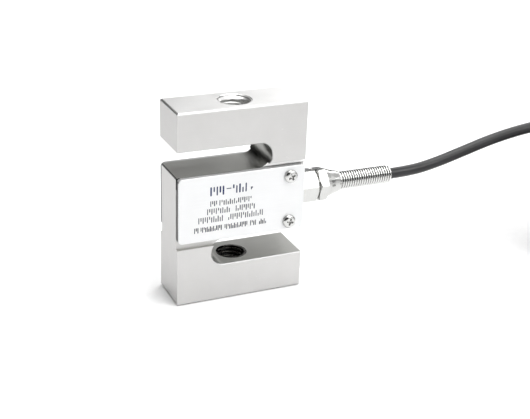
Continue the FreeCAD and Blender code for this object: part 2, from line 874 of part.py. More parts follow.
# four insulated cores from the jacket's end to the terminal boards
jacket_x = side_face + size("cable_start")
cored = size("core_wide")
off = 0.62
pad_y = web + size("board_thick") + size("pad_tall") + cored / 2
row_z = mid - size("board_drop")
CORES = {
    "red_core": (-1, 1, [(8.4, 37.9), (1.2, 33.7), (1.2, row_z - 0.4)]),
    "black_core": (-1, -1, [(8.4, 35.6), (3.6, 33.6), (3.6, row_z - 0.4)]),
    "green_core": (1, 1, [(8.4, 37.9), (1.2, 33.7), (1.2, row_z - 0.4)]),
    "white_core": (1, -1, [(8.4, 35.6), (3.6, 33.6), (3.6, row_z - 0.4)]),
}
for label, (sy, sz, way) in CORES.items():
    points = [
        (jacket_x, sy * off, mid + sz * off),
        (10.6, sy * off, mid + sz * off),
    ] + [(x, sy * pad_y, z) for x, z in way]
    shape = tube(points, cored, label)
    piece = solid_feature(label + "_tube", label, shape)
    inside["front" if sy < 0 else "rear"].append(piece)

# silicone that fills each gauge pocket round its wires
for side, s in (("front", -1), ("rear", 1)):
    plug = Part.makeCylinder(
        size("gauge_bore") / 2,
        size("potting_thick"),
        Vector(0, s * web, mid),
        Vector(0, s, 0),
    )
    for piece in inside[side]:
        plug = plug.cut(piece.Shape)
    plug = plug.removeSplitter()
    solids = sorted(plug.Solids, key=lambda q: -q.Volume)
    solid_feature(side + "_potting_plug", side + "_potting", solids[0])

# the free cable: out of the spring, a low arch, and down to its coil
exit_x = side_face + size("spring_end")
ROUTE = [
    (exit_x, 0.0, mid),
    (78.4, 0.0, mid),
    (89.4, -0.2, 40.1),
    (101.8, -0.7, 43.7),
    (115.1, -1.7, 48.0),
    (129.1, -3.7, 51.6),
    (143.4, -5.4, 53.5),
    (157.4, -6.9, 53.0),
    (167.0, -7.6, 51.2),
    (175.5, -8.6, 48.4),
    (184.2, -13.0, 44.1),
    (190.6, -20.4, 39.3),
    (193.8, -29.6, 34.6),
    (193.2, -39.3, 30.2),
]
run = tube(ROUTE, size("cable_wide"), "cable_run")
solid_feature("cable_run_tube", "cable_run", run)

# the rest of the cable, wound up and tied: one closed solid of the coil's
# outer shape, with the two stubs where the cable joins it and leaves it
ri, ro = size("coil_inner"), size("coil_outer")
z0, z1 = size("coil_low"), size("coil_high")
centre = Vector(size("coil_x"), size("coil_y"), 0)
coil = body("coil_ring_body")
sk = sketch(coil, "coil_section", "XZ_Plane")
rectangle(
    sk,
    (ri, "sizes.coil_inner"),
    (z0, "sizes.coil_low"),
    (ro, "sizes.coil_outer"),
    (z1, "sizes.coil_high"),
)
revolve(coil, "coil_ring", sk, "Z_Axis")
long_edges = edges_where(
    coil.Shape,
    lambda p: (
        abs(math.hypot(p.x, p.y) - ri) < 1e-6
        or abs(math.hypot(p.x, p.y) - ro) < 1e-6
    )
    and (abs(p.z - z0) < 1e-6 or abs(p.z - z1) < 1e-6),
)
rounds = []
for n in long_edges:
    if coil.Shape.getElement(n).Length > 20:
        rounds.append(n)
feature = coil.newObject("PartDesign::Fillet", "coil_rounding")
feature.Base = (doc.getObject("coil_ring"), rounds)
feature.setExpression("Radius", "sizes.cable_wide/2 - 0.01")
doc.recompute()
coil.Placement = Placement(centre, Rotation())

cable_r = size("cable_wide") / 2
last, before = Vector(*ROUTE[-1]), Vector(*ROUTE[-2])
heading = last - before
heading.normalize()
stub_in = doc.addObject("Part::Cylinder", "coil_stub_in")
stub_in.setExpression("Radius", "sizes.cable_wide/2")
stub_in.Height = 7.0
stub_in.Placement = Placement(last, Rotation(Vector(0, 0, 1), heading))
tail_y = size("coil_y") + ro - cable_r
tail_z = z0 + cable_r
stub_out = doc.addObject("Part::Cylinder", "coil_stub_out")
stub_out.setExpression("Radius", "sizes.cable_wide/2")
stub_out.Height = 16.5
stub_out.Placement = Placement(
    Vector(size("coil_x"), tail_y, tail_z), Rotation(Vector(0, 0, 1), Vector(1, 0, 0))
)
joined = doc.addObject("Part::MultiFuse", "coil_with_stubs")
joined.Shapes = [coil, stub_in, stub_out]
doc.recompute()
keep(joined, "cable_coil")

# the tail of the cable, lying beside the coil
tail_x = size("coil_x") + 16.5
TAIL = [
    (tail_x, tail_y, tail_z),
    (tail_x + 8.8, tail_y, tail_z),
    (tail_x + 17.6, tail_y - 3.3, cable_r + 0.4),
    (tail_x + 24.6, tail_y - 9.5, cable_r),
    (tail_x + 28.9, tail_y - 17.5, cable_r),
]
solid_feature(
    "cable_tail_tube", "cable_tail", tube(TAIL, size("cable_wide"), "cable_tail")
)
tail_end = Vector(*TAIL[-1])
tail_way = tail_end - Vector(*TAIL[-2])
tail_way.normalize()

# a heat-shrink sleeve over the jacket's end
sleeve_long = 13.0
sleeve_start = tail_end - tail_way * 5.0
sleeve = Part.makeCylinder(
    cable_r + 0.35, sleeve_long, sleeve_start, tail_way
).cut(Part.makeCylinder(cable_r, 5.0, sleeve_start, tail_way))
floor_cut = Part.makeBox(80, 80, 10, Vector(tail_end.x - 40, tail_end.y - 40, -10))
sleeve = sleeve.cut(floor_cut)
for obj in PARTS:
    if obj.Label == "cable_tail":
        sleeve = sleeve.cut(obj.Shape)
sleeve = sorted(sleeve.Solids, key=lambda q: -q.Volume)[0]
solid_feature("end_sleeve_tube", "cable_end_sleeve", sleeve)

# flying leads: four colour-coded cores and the shield's pigtail
lead_r = size("lead_wide") / 2
tip0 = sleeve_start + tail_way * sleeve_long
across = Vector(-tail_way.y, tail_way.x, 0)
across.normalize()
upward = tail_way.cross(across)
LEADS = [
    ("red_lead", 0.75, 0.75, [(10, 1.4), (17, 0.8), (23.5, -2.4)]),
    ("white_lead", 0.75, -0.75, [(11, 0.0), (18.5, -2.4), (25, -6.8)]),
    ("shield_pigtail", 0.0, -1.55, [(11, -1.6), (17.5, -4.6), (23, -8.6)]),
    ("green_lead", -0.75, -0.75, [(10, -2.8), (16.5, -6.6), (21.5, -11.8)]),
    ("black_lead", -0.75, 0.75, [(10, -4.4), (15, -9.4), (18.5, -15.2)]),
]
for label, dy, dz, way in LEADS:
    start = tip0 + across * dy + upward * dz
    thick = size("lead_wide") * (0.8 if label == "shield_pigtail" else 1.0)
    low_z = thick / 2
    points = [tuple(start), tuple(start + tail_way * 4.5)]
    for i, (u, v) in enumerate(way):
        z = low_z + (max(start.z, low_z) - low_z) * (0.35, 0.0, 0.0)[i]
        p = tip0 + tail_way * u + across * v
        points.append((p.x, p.y, z))
    solid_feature(label + "_tube", label, tube(points, thick, label))

# two flat ties round the coil's bundle
tw, tt = size("tie_wide"), size("tie_thick")
ties = []
section = ro - ri
for angle in (45.0, 225.0):
    loop = Part.makeBox(
        section + 2 * tt, tw, (z1 - z0) + 2 * tt, Vector(ri - tt, -tw / 2, z0 - tt)
    )
    corners = [
        e
        for e in loop.Edges
        if abs(abs(e.tangentAt(e.FirstParameter).y) - 1) < 1e-6
    ]
    loop = loop.makeFillet(cable_r + tt - 0.02, corners)
    lock = Part.makeBox(3.0, 4.8, 4.4, Vector(ro + tt - 0.3, -2.4, 12.0))
    lock = lock.makeFillet(0.5, lock.Edges)
    end = Part.makeBox(1.2, 2.4, 6.5, Vector(ro + tt + 0.9, -1.2, 15.8))
    loop = loop.fuse(lock).fuse(end)
    loop.rotate(Vector(0, 0, 0), Vector(0, 0, 1), angle)
    loop.translate(centre)
    loop = loop.cut(joined.Shape)
    ties.append(sorted(loop.Solids, key=lambda q: -q.Volume)[0])
solid_feature("coil_tie_pair", "coil_ties", Part.makeCompound(ties))

# ---------------------------------------------------------------- write
doc.recompute()
faults = []
for obj in doc.Objects:
    state = [s for s in obj.State if s in ("Invalid", "Error")]
    if state:
        faults.append("%s is %s" % (obj.Name, state))
labels = [obj.Label for obj in PARTS]
if len(set(labels)) != len(labels):
    faults.append("two sub-parts share a label")
for obj in PARTS:
    shape = obj.Shape
    if shape.isNull() or not shape.isValid() or shape.Volume <= 0:
        faults.append("%s has no valid shape" % obj.Label)
if faults:
    raise RuntimeError("; ".join(faults))

os.makedirs("parts", exist_ok=True)
for obj in PARTS:
    obj.Shape.exportStep("parts/%s.step" % obj.Label)
    box = obj.Shape.BoundBox
    print(
        "%-22s solids %d  volume %10.3f  x %7.2f..%7.2f  y %7.2f..%7.2f  z %6.2f..%6.2f"
        % (
            obj.Label,
            len(obj.Shape.Solids),
            obj.Shape.Volume,
            box.XMin,
            box.XMax,
            box.YMin,
            box.YMax,
            box.ZMin,
            box.ZMax,
        )
    )
print("%d sub-parts" % len(PARTS))
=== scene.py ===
import math

import bmesh
import bpy
from mathutils import Matrix, Vector


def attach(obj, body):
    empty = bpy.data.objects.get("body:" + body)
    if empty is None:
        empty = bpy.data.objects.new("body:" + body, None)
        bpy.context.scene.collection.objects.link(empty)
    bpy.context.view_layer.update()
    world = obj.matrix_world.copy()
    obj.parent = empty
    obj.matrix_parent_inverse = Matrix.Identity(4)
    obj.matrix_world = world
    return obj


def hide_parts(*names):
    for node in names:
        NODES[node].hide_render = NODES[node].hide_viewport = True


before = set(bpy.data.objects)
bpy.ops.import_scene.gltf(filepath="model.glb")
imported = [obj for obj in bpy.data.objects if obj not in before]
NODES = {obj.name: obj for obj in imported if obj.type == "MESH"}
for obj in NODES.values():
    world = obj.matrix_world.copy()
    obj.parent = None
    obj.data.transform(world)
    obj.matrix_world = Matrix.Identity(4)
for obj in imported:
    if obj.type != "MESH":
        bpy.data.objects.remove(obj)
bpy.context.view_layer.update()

MM = 0.001
scene = bpy.context.scene
scene.view_settings.view_transform = "Standard"
scene.view_settings.look = "None"

# ---------------------------------------------------------------- camera
cam_data = bpy.data.cameras.new("camera")
cam_data.sensor_fit = "HORIZONTAL"
cam_data.sensor_width = 36.0
cam_data.lens = 71.464
cam_data.clip_start, cam_data.clip_end = 0.02, 20.0
camera = bpy.data.objects.new("camera", cam_data)
scene.collection.objects.link(camera)
right = Vector((0.91495807, -0.40222271, 0.03268979))
up = Vector((0.13459198, 0.38052233, 0.914925))
back = Vector((-0.38044281, -0.83271823, 0.40229793))
camera.matrix_world = Matrix(
    (
        (right.x, up.x, back.x, -0.141062),
        (right.y, up.y, back.y, -0.338975),
        (right.z, up.z, back.z, 0.194003),
        (0, 0, 0, 1),
    )
)
scene.camera = camera


# ---------------------------------------------------------------- helpers
def link(name, data, smooth=True):
    obj = bpy.data.objects.new(name, data)
    scene.collection.objects.link(obj)
    if smooth and hasattr(data, "polygons"):
        data.polygons.foreach_set("use_smooth", [True] * len(data.polygons))
    return obj


def mesh_from(name, verts, faces, smooth=True):
    data = bpy.data.meshes.new(name)
    data.from_pydata([tuple(v) for v in verts], [], faces)
    data.validate()
    data.update()
    return link(name, data, smooth)


def nurbs(name, points, radius, sides=6, along=8):
    """An open NURBS line with those control points, in millimetres, and a round bevel."""
    data = bpy.data.curves.new(name, "CURVE")
    data.dimensions = "3D"
    data.resolution_u = along
    data.bevel_depth = radius * MM
    data.bevel_resolution = sides
    data.use_fill_caps = True
    spline = data.splines.new("NURBS")
    spline.points.add(len(points) - 1)
    for target, p in zip(spline.points, points):
        target.co = (p[0] * MM, p[1] * MM, p[2] * MM, 1.0)
    spline.order_u = 3
    spline.use_endpoint_u = True
    spline.use_smooth = True
    obj = bpy.data.objects.new(name, data)
    scene.collection.objects.link(obj)
    return obj


def centreline(points, along=16):
    """Points along a NURBS line with those control points, in millimetres."""
    line = nurbs("line_guide", points, 0.0, 0, along)
    line.data.bevel_depth = 0.0
    bpy.context.view_layer.update()
    graph = bpy.context.evaluated_depsgraph_get()
    made = bpy.data.meshes.new_from_object(line.evaluated_get(graph))
    out = [v.co.copy() / MM for v in made.vertices]
    bpy.data.objects.remove(line)
    bpy.data.meshes.remove(made)
    return out


def frames_along(line):
    """(point, tangent, normal, binormal) along a line, with as little twist as can be."""
    out = []
    normal = None
    for i, p in enumerate(line):
        a = line[max(0, i - 1)]
        b = line[min(len(line) - 1, i + 1)]
        t = (b - a).normalized()
        if normal is None:
            ref = Vector((0, 0, 1)) if abs(t.z) < 0.9 else Vector((1, 0, 0))
            normal = (ref - t * ref.dot(t)).normalized()
        else:
            normal = (normal - t * normal.dot(t)).normalized()
        out.append((p, t, normal, t.cross(normal)))
    return out


def sweep(name, path, radius, sides=10, closed_ends=True):
    """A round tube through many points, in millimetres; radius may be a list."""
    verts, faces = [], []
    rows = frames_along(path)
    for i, (p, t, n, b) in enumerate(rows):
        r = radius[i] if isinstance(radius, (list, tuple)) else radius
        for k in range(sides):
            a = 2 * math.pi * k / sides
            verts.append((p + n * (r * math.cos(a)) + b * (r * math.sin(a))) * MM)
    for i in range(len(rows) - 1):
        for k in range(sides):
            a, c = i * sides + k, i * sides + (k + 1) % sides
            faces.append((a, c, c + sides, a + sides))
    if closed_ends:
        faces.append(tuple(reversed(range(sides))))
        last = (len(rows) - 1) * sides
        faces.append(tuple(range(last, last + sides)))
    return mesh_from(name, verts, faces)


def lathe(name, rows, origin, axis, steps=64, smooth=True):
    """A closed or open profile of (radius, along), in millimetres, turned about an axis."""
    axis = Vector(axis).normalized()
    ref = Vector((0, 0, 1)) if abs(axis.z) < 0.9 else Vector((1, 0, 0))
    u = (ref - axis * ref.dot(axis)).normalized()
    w = axis.cross(u)
    verts, faces = [], []
    for r, a in rows:
        for k in range(steps):
            t = 2 * math.pi * k / steps
            verts.append(
                (Vector(origin) + axis * a + u * (r * math.cos(t)) + w * (r * math.sin(t)))
                * MM
            )
    for i in range(len(rows) - 1):
        for k in range(steps):
            a, c = i * steps + k, i * steps + (k + 1) % steps
            faces.append((a, c, c + steps, a + steps))
    return mesh_from(name, verts, faces, smooth)


def crease(obj, degrees=32):
    """Sharp edges where faces meet at more than that angle, smooth elsewhere."""
    data = obj.data
    bm = bmesh.new()
    bm.from_mesh(data)
    limit = math.radians(degrees)
    for f in bm.faces:
        f.smooth = True
    for e in bm.edges:
        if len(e.link_faces) == 2:
            e.smooth = e.calc_face_angle(0.0) < limit
    bm.to_mesh(data)
    bm.free()


# ---------------------------------------------------------------- the cable's line
# the same route as the construction, then the put-away turns, then the tail
ROUTE = [
    (67.8, 0.0, 38.1),
    (78.4, 0.0, 38.1),
    (89.4, -0.2, 40.1),
    (101.8, -0.7, 43.7),
    (115.1, -1.7, 48.0),
    (129.1, -3.7, 51.6),
    (143.4, -5.4, 53.5),
    (157.4, -6.9, 53.0),
    (167.0, -7.6, 51.2),
    (175.5, -8.6, 48.4),
    (184.2, -13.0, 44.1),
    (190.6, -20.4, 39.3),
    (193.8, -29.6, 34.6),
    (193.2, -39.3, 30.2),
]
COIL = (165.4, -30.0)
COLUMNS = (29.4, 25.0, 20.6)
LAYERS = (25.1, 20.7, 16.3, 11.9, 7.5, 3.1)
PER_TURN = 24
SWELL = 1.0 / math.cos(math.pi / PER_TURN)


def ease(t):
    t = min(1.0, max(0.0, t))
    return t * t * (3 - 2 * t)


def coil_points():
    """Control points of the turns: clockwise, three columns a layer, top layer first."""
    order = []
    for n, z in enumerate(LAYERS):
        for c in COLUMNS if n % 2 == 0 else reversed(COLUMNS):
            order.append((c, z))
    points = []
    for k, (r, z) in enumerate(order):
        nxt = order[k + 1] if k + 1 < len(order) else (r, z)
        for j in range(PER_TURN):
            turned = 360.0 * j / PER_TURN
            if k == 0 and turned < 44:
                continue
            if k == len(order) - 1 and turned > 268:
                break
            # each turn steps over to the next one's place in its last part
            a = ease((turned - 288.0) / 36.0)
            b = ease((turned - 324.0) / 30.0)
            rr = r + (nxt[0] - r) * a
            zz = z + (nxt[1] - z) * b
            # hand-wound turns aren't quite even
            loose = 0.16 * math.sin(0.9 * k + math.radians(turned) * 2.0)
            rr = (rr + loose) * SWELL
            phi = math.radians(-turned)
            points.append(
                (COIL[0] + rr * math.cos(phi), COIL[1] + rr * math.sin(phi), zz)
            )
    return points


TAIL = [
    (181.9, -0.6, 3.1),
    (190.7, -0.6, 3.1),
    (199.5, -3.9, 2.6),
    (206.5, -10.1, 2.2),
    (210.8, -18.1, 2.2),
]
# down into the first turn, and out of the last one beside the coil
JOIN_IN = [(190.5, -45.7, 27.0)]
JOIN_OUT = [(165.4, -0.6, 3.1), (173.6, -0.6, 3.1)]
LINE = ROUTE + JOIN_IN + coil_points() + JOIN_OUT + TAIL

cable = nurbs("cable", LINE, 2.2, sides=7, along=6)

# ---------------------------------------------------------------- spring
GLAND_X, MID = 25.4, 38.1
SPRING_FROM, SPRING_TO = GLAND_X + 16.25, GLAND_X + 42.4
WIRE = 0.462
SPRING_R = 3.6 - WIRE
turns = 24
pitch = (SPRING_TO - SPRING_FROM - 2 * WIRE) / turns
spring_path = []
steps = 30
for i in range(turns * steps + 1):
    t = i / steps
    a = 2 * math.pi * t
    spring_path.append(
        Vector(
            (
                SPRING_FROM + WIRE + pitch * t,
                SPRING_R * math.sin(a),
                MID + SPRING_R * math.cos(a),
            )
        )
    )
spring = sweep("strain_relief_spring_wire", spring_path, WIRE, sides=12)


# ---------------------------------------------------------------- mounting threads
def thread_crests(name, z0, z1, mouth, mouth_up):
    """The ridge of an M12 x 1.75 internal thread between z0 and z1, in millimetres."""
    p = 1.75
    root_r, crest_r, hidden = 6.0, 5.06, 6.06
    root_w, crest_w = 0.78, 0.20
    segs = 56
    rows = []
    total = (z1 - z0) / p + 1.2
    count = int(total * segs)
    for i in range(count + 1):
        t = i / segs
        a = 2 * math.pi * t
        zc = z0 - 0.6 * p + p * t
        row = []
        for r, dz in (
            (hidden, -root_w),
            (root_r - 0.01, -root_w + 0.03),
            (crest_r + 0.06, -crest_w - 0.05),
            (crest_r, -crest_w * 0.5),
            (crest_r, crest_w * 0.5),
            (crest_r + 0.06, crest_w + 0.05),
            (root_r - 0.01, root_w - 0.03),
            (hidden, root_w),
        ):
            z = zc + dz
            deep = (mouth - z) if mouth_up else (z - mouth)
            rr = r
            if rr < root_r:
                rr = max(rr, 6.65 - max(0.0, deep))
            rr = min(rr, 6.66)
            z = min(max(z, z0 + 0.01), z1 - 0.01)
            row.append(Vector((rr * math.cos(a), rr * math.sin(a), z)) * MM)
        rows.append(row)
    verts = [v for row in rows for v in row]
    n = len(rows[0])
    faces = []
    for i in range(len(rows) - 1):
        for k in range(n - 1):
            a = i * n + k
            faces.append((a, a + n, a + n + 1, a + 1))
    obj = mesh_from(name, verts, faces)
    crease(obj, 40)
    return obj


upper_thread = thread_crests("upper_thread_crests", 61.5, 75.95, 76.2, True)
lower_thread = thread_crests("lower_thread_crests", 0.25, 14.7, 0.0, False)


# ---------------------------------------------------------------- cover screws
def pan_screw(name, x, z, side, turn):
    """An M3 pan head with a tapered cross recess, and its shank; side is -1 in front."""
    seat = 10.025
    rows = []
    outer = [
        (2.60, 0.00), (2.60, 0.35), (2.585, 0.55), (2.53, 0.76), (2.44, 0.94),
        (2.31, 1.10), (2.14, 1.24), (1.93, 1.35), (1.68, 1.44), (1.40, 1.50),
        (1.10, 1.535), (0.80, 1.55), (0.45, 1.55),
    ]
    bm = bmesh.new()
    steps = 96
    rings = []
    depth = 0.95

    def recess(r, a):
        """How deep the cross goes at that place: two tapered slots that cross."""
        best = 0.0
        for k in range(4):
            c = math.radians(turn + 90 * k)
            along = r * math.cos(a - c)
            across = abs(r * math.sin(a - c))
            if along < -0.45:
                continue
            reach = 1.42
            half = 0.36
            d = min((half - across) / 0.10, (reach - along) / 0.38)
            best = max(best, min(1.0, max(0.0, d)))
        return best

    fine = [(1.93, 1.35), (1.68, 1.44), (1.54, 1.475)]
    top = [1.42, 1.30, 1.18, 1.06, 0.94, 0.82, 0.70, 0.60, 0.50, 0.42, 0.36, 0.30, 0.22, 0.14, 0.06]
    profile = outer[:8] + fine[1:] + [
        (r, 1.55 - 0.075 * (r / 1.54) ** 2) for r in top
    ]
    for r, h in profile:
        ring = []
        for k in range(steps):
            a = 2 * math.pi * k / steps
            hh = h - depth * recess(r, a) * (1.0 if r < 1.5 else 0.0)
            # local frame: u along X, w along Z, head out along side * Y
            ring.append(
                bm.verts.new(
                    (
                        (x + r * math.cos(a)) * MM,
                        side * (seat + hh) * MM,
                        (z + r * math.sin(a)) * MM,
                    )
                )
            )
        rings.append(ring)
    for i in range(len(rings) - 1):
        for k in range(steps):
            bm.faces.new(
                (
                    rings[i][k],
                    rings[i][(k + 1) % steps],
                    rings[i + 1][(k + 1) % steps],
                    rings[i + 1][k],
                )
            )
    bm.faces.new(rings[-1])
    # underside of the head and the shank, with its thread as a close spiral
    under = []
    shank = [(2.60, 0.0), (1.62, 0.0), (1.5, -0.05)]
    prev = rings[0]
    for r, h in shank[1:]:
        ring = [
            bm.verts.new(
                (
                    (x + r * math.cos(2 * math.pi * k / steps)) * MM,
                    side * (seat + h) * MM,
                    (z + r * math.sin(2 * math.pi * k / steps)) * MM,
                )
            )
            for k in range(steps)
        ]
        for k in range(steps):
            bm.faces.new(
                (prev[k], ring[k], ring[(k + 1) % steps], prev[(k + 1) % steps])
            )
        prev = ring
    length, p3 = 6.5, 0.5
    levels = 78
    for j in range(1, levels + 1):
        h = -0.05 - (length - 0.05) * j / levels
        ring = []
        for k in range(steps):
            a = 2 * math.pi * k / steps
            phase = (h / p3 + k / steps) % 1.0
            r = 1.49 - 0.26 * (1 - abs(2 * phase - 1)) * ease((-h - 0.2) / 0.6)
            r -= 0.3 * ease((-h - length + 0.5) / 0.5)
            ring.append(
                bm.verts.new(
                    (
                        (x + r * math.cos(a)) * MM,
                        side * (seat + h) * MM,
                        (z + r * math.sin(a)) * MM,
                    )
                )
            )
        for k in range(steps):
            bm.faces.new(
                (prev[k], ring[k], ring[(k + 1) % steps], prev[(k + 1) % steps])
            )
        prev = ring
    bm.faces.new(prev)
    bmesh.ops.recalc_face_normals(bm, faces=bm.faces)
    data = bpy.data.meshes.new(name)
    bm.to_mesh(data)
    bm.free()
    obj = link(name, data)
    crease(obj, 38)
    return obj


SCREWS = {
    "front": [("upper_front_screw", 47.3, 28.0), ("lower_front_screw", 28.9, -14.0)],
    "rear": [("upper_rear_screw", 47.3, 5.0), ("lower_rear_screw", 28.9, 51.0)],
}
screw_pieces = {"front": [], "rear": []}
for side, rows in SCREWS.items():
    for name, z, turn in rows:
        screw_pieces[side].append(
            pan_screw(name, 19.3, z, -1 if side == "front" else 1, turn)
        )

# ---------------------------------------------------------------- print on the cover
# plain bars stand where the real plate carries its print
BARS = []
# (share of the row's height, share of its width) of the strokes that follow each other
PATTERN = ((1.0, 1.0), (0.58, 0.8), (1.0, 0.8), (0.72, 1.0), (1.0, 1.0), (0.45, 0.9), (0.86, 0.8))


def stroke_row(low, high, pitch, wide, words):
    """Each word is (x0, x1), filled with short upright strokes of uneven height."""
    count = 0
    for x0, x1 in words:
        steps = max(1, round((x1 - x0 - wide) / pitch))
        for k in range(steps + 1):
            tall, broad = PATTERN[count % len(PATTERN)]
            count += 1
            middle = x0 + wide / 2 + (x1 - x0 - wide) * k / steps
            extent = (high - low) * tall
            start = low if count % 2 else high - extent
            BARS.append((middle - wide * broad / 2, middle + wide * broad / 2, start, start + extent))


stroke_row(43.5, 47.1, 1.30, 0.66, [(-12.9, -7.4), (-4.0, 1.6)])
stroke_row(45.55, 45.9, 9.0, 1.9, [(-6.5, -4.6)])
stroke_row(44.1, 45.3, 0.7, 0.4, [(3.2, 4.0)])
stroke_row(39.4, 41.5, 0.80, 0.32, [(-12.8, -10.2), (-9.2, 3.5)])
stroke_row(36.2, 38.5, 0.84, 0.32, [(-14.0, -5.1), (-2.7, 4.9)])
stroke_row(33.0, 35.4, 0.84, 0.33, [(-17.4, -7.8), (-5.6, 8.3)])
stroke_row(29.4, 31.5, 0.62, 0.31, [(-19.0, -17.4), (-16.5, -8.2), (-7.0, 2.1), (3.3, 5.6), (7.0, 9.8)])

bm = bmesh.new()
FACE = -10.025
for x0, x1, z0, z1 in BARS:
    r = min(0.32, (z1 - z0) * 0.32)
    outline = []
    for cx, cz, a0 in (
        (x1 - r, z1 - r, 0),
        (x0 + r, z1 - r, 90),
        (x0 + r, z0 + r, 180),
        (x1 - r, z0 + r, 270),
    ):
        for k in range(5):
            a = math.radians(a0 + 22.5 * k)
            outline.append((cx + r * math.cos(a), cz + r * math.sin(a)))
    front = [bm.verts.new((px * MM, (FACE - 0.012) * MM, pz * MM)) for px, pz in outline]
    rear = [bm.verts.new((px * MM, (FACE + 0.01) * MM, pz * MM)) for px, pz in outline]
    bm.faces.new(front)
    n = len(front)
    for k in range(n):
        bm.faces.new((front[k], rear[k], rear[(k + 1) % n], front[(k + 1) % n]))
bmesh.ops.recalc_face_normals(bm, faces=bm.faces)
data = bpy.data.meshes.new("cover_print")
bm.to_mesh(data)
bm.free()
cover_print = link("cover_print", data, smooth=False)

# ---------------------------------------------------------------- leads at the cable's end
tail_end = Vector(TAIL[-1])
tail_way = (tail_end - Vector(TAIL[-2])).normalized()
across = Vector((-tail_way.y, tail_way.x, 0)).normalized()
upward = tail_way.cross(across)
SLEEVE_START = tail_end - tail_way * 5.0
TIP = SLEEVE_START + tail_way * 13.0
LEADS = [
    ("red_lead", 0.75, 0.75, [(10, 1.4), (17, 0.8), (23.5, -2.4)]),
    ("white_lead", 0.75, -0.75, [(11, 0.0), (18.5, -2.4), (25, -6.8)]),
    ("shield_pigtail", 0.0, -1.55, [(11, -1.6), (17.5, -4.6), (23, -8.6)]),
    ("green_lead", -0.75, -0.75, [(10, -2.8), (16.5, -6.6), (21.5, -11.8)]),
    ("black_lead", -0.75, 0.75, [(10, -4.4), (15, -9.4), (18.5, -15.2)]),
]
lead_pieces = {}
tips = []
for label, dy, dz, way in LEADS:
    start = TIP + across * dy + upward * dz
    low = 0.44 if label == "shield_pigtail" else 0.55
    pts = [start, start + tail_way * 4.5]
    for i, (u, v) in enumerate(way):
        z = low + (max(start.z, low) - low) * (0.35, 0.0, 0.0)[i]
        q = TIP + tail_way * u + across * v
        pts.append(Vector((q.x, q.y, z)))
    line = centreline(pts, 14)
    if label == "shield_pigtail":
        # tinned strands twisted together
        made = []
        rows = frames_along(line)
        run = 0.0
        strands = 5
        for s in range(strands):
            path = []
            run = 0.0
            for i, (p, t, n, b) in enumerate(rows):
                if i:
                    run += (line[i] - line[i - 1]).length
                a = 2 * math.pi * (s / strands + run / 4.2)
                rad = 0.25
                path.append(p + n * (rad * math.cos(a)) + b * (rad * math.sin(a)))
            made.append(sweep("strand_%d" % s, path, 0.165, sides=8))
        main = made[0]
        with bpy.context.temp_override(
            active_object=main, selected_editable_objects=made, selected_objects=made
        ):
            bpy.ops.object.join()
        main.name = "shield_pigtail_strands"
        lead_pieces[label] = main
    else:
        # the last few millimetres are stripped and tinned
        length = [0.0]
        for i in range(1, len(line)):
            length.append(length[-1] + (line[i] - line[i - 1]).length)
        cut = length[-1] - 4.5
        jacket = [p for p, l in zip(line, length) if l <= cut]
        bare = [p for p, l in zip(line, length) if l > cut - 0.6]
        radii = [0.55] * len(jacket)
        radii[-1] = 0.53
        lead_pieces[label] = sweep(label + "_insulation", jacket, radii, sides=14)
        bare = [p + Vector((0, 0, -0.18)) if i > 1 else p for i, p in enumerate(bare)]
        tips.append(sweep("tip_of_" + label, bare, 0.33, sides=10))
with bpy.context.temp_override(
    active_object=tips[0], selected_editable_objects=tips, selected_objects=tips
):
    bpy.ops.object.join()
tinned = tips[0]
tinned.name = "tinned_lead_tips"

# heat-shrink over the jacket's end: it grips the jacket, then necks in on the cores
rows = []
for i in range(40):
    t = i / 39.0
    s = 13.0 * t
    r = 2.5
    r -= 0.10 * ease((s - 6.2) / 2.6)
    r -= 0.28 * ease((s - 11.4) / 1.6)
    r += 0.035 * math.sin(s * 3.1) * ease((s - 1) / 2)
    rows.append((r, s))
rows = [(2.22, 0.0)] + rows + [(1.9, 13.0), (1.7, 12.4)]
sleeve = lathe("heat_shrink_sleeve", rows, SLEEVE_START, tail_way, steps=40)
for v in sleeve.data.vertices:
    if v.co.z < 0.0:
        v.co.z = 0.0
crease(sleeve, 50)


# ---------------------------------------------------------------- materials
def begin(name):
    m = bpy.data.materials.new(name)
    m.use_nodes = True
    tree = m.node_tree
    shader = tree.nodes["Principled BSDF"]
    place = tree.nodes.new("ShaderNodeTexCoord").outputs["Object"]
    return m, tree, shader, place


def scaled(tree, place, factors, turn=(0, 0, 0)):
    n = tree.nodes.new("ShaderNodeMapping")
    n.inputs["Scale"].default_value = factors
    n.inputs["Rotation"].default_value = turn
    tree.links.new(place, n.inputs["Vector"])
    return n.outputs["Vector"]


def noise(tree, vector, scale, detail=4.0, rough=0.55, distortion=0.0):
    n = tree.nodes.new("ShaderNodeTexNoise")
    n.inputs["Scale"].default_value = scale
    n.inputs["Detail"].default_value = detail
    n.inputs["Roughness"].default_value = rough
    n.inputs["Distortion"].default_value = distortion
    tree.links.new(vector, n.inputs["Vector"])
    return n.outputs["Fac"]


def spread(tree, value, low, high, lo=0.3, hi=0.7):
    n = tree.nodes.new("ShaderNodeMapRange")
    n.inputs["From Min"].default_value = lo
    n.inputs["From Max"].default_value = hi
    n.inputs["To Min"].default_value = low
    n.inputs["To Max"].default_value = high
    tree.links.new(value, n.inputs["Value"])
    return n.outputs["Result"]


def blend(tree, factor, a, b, kind="MIX"):
    n = tree.nodes.new("ShaderNodeMix")
    n.data_type = "RGBA"
    n.blend_type = kind
    for socket, value in ((n.inputs[6], a), (n.inputs[7], b)):
        if isinstance(value, (tuple, list)):
            socket.default_value = (*value[:3], 1.0)
        else:
            tree.links.new(value, socket)
    if isinstance(factor, float):
        n.inputs[0].default_value = factor
    else:
        tree.links.new(factor, n.inputs[0])
    return n.outputs[2]


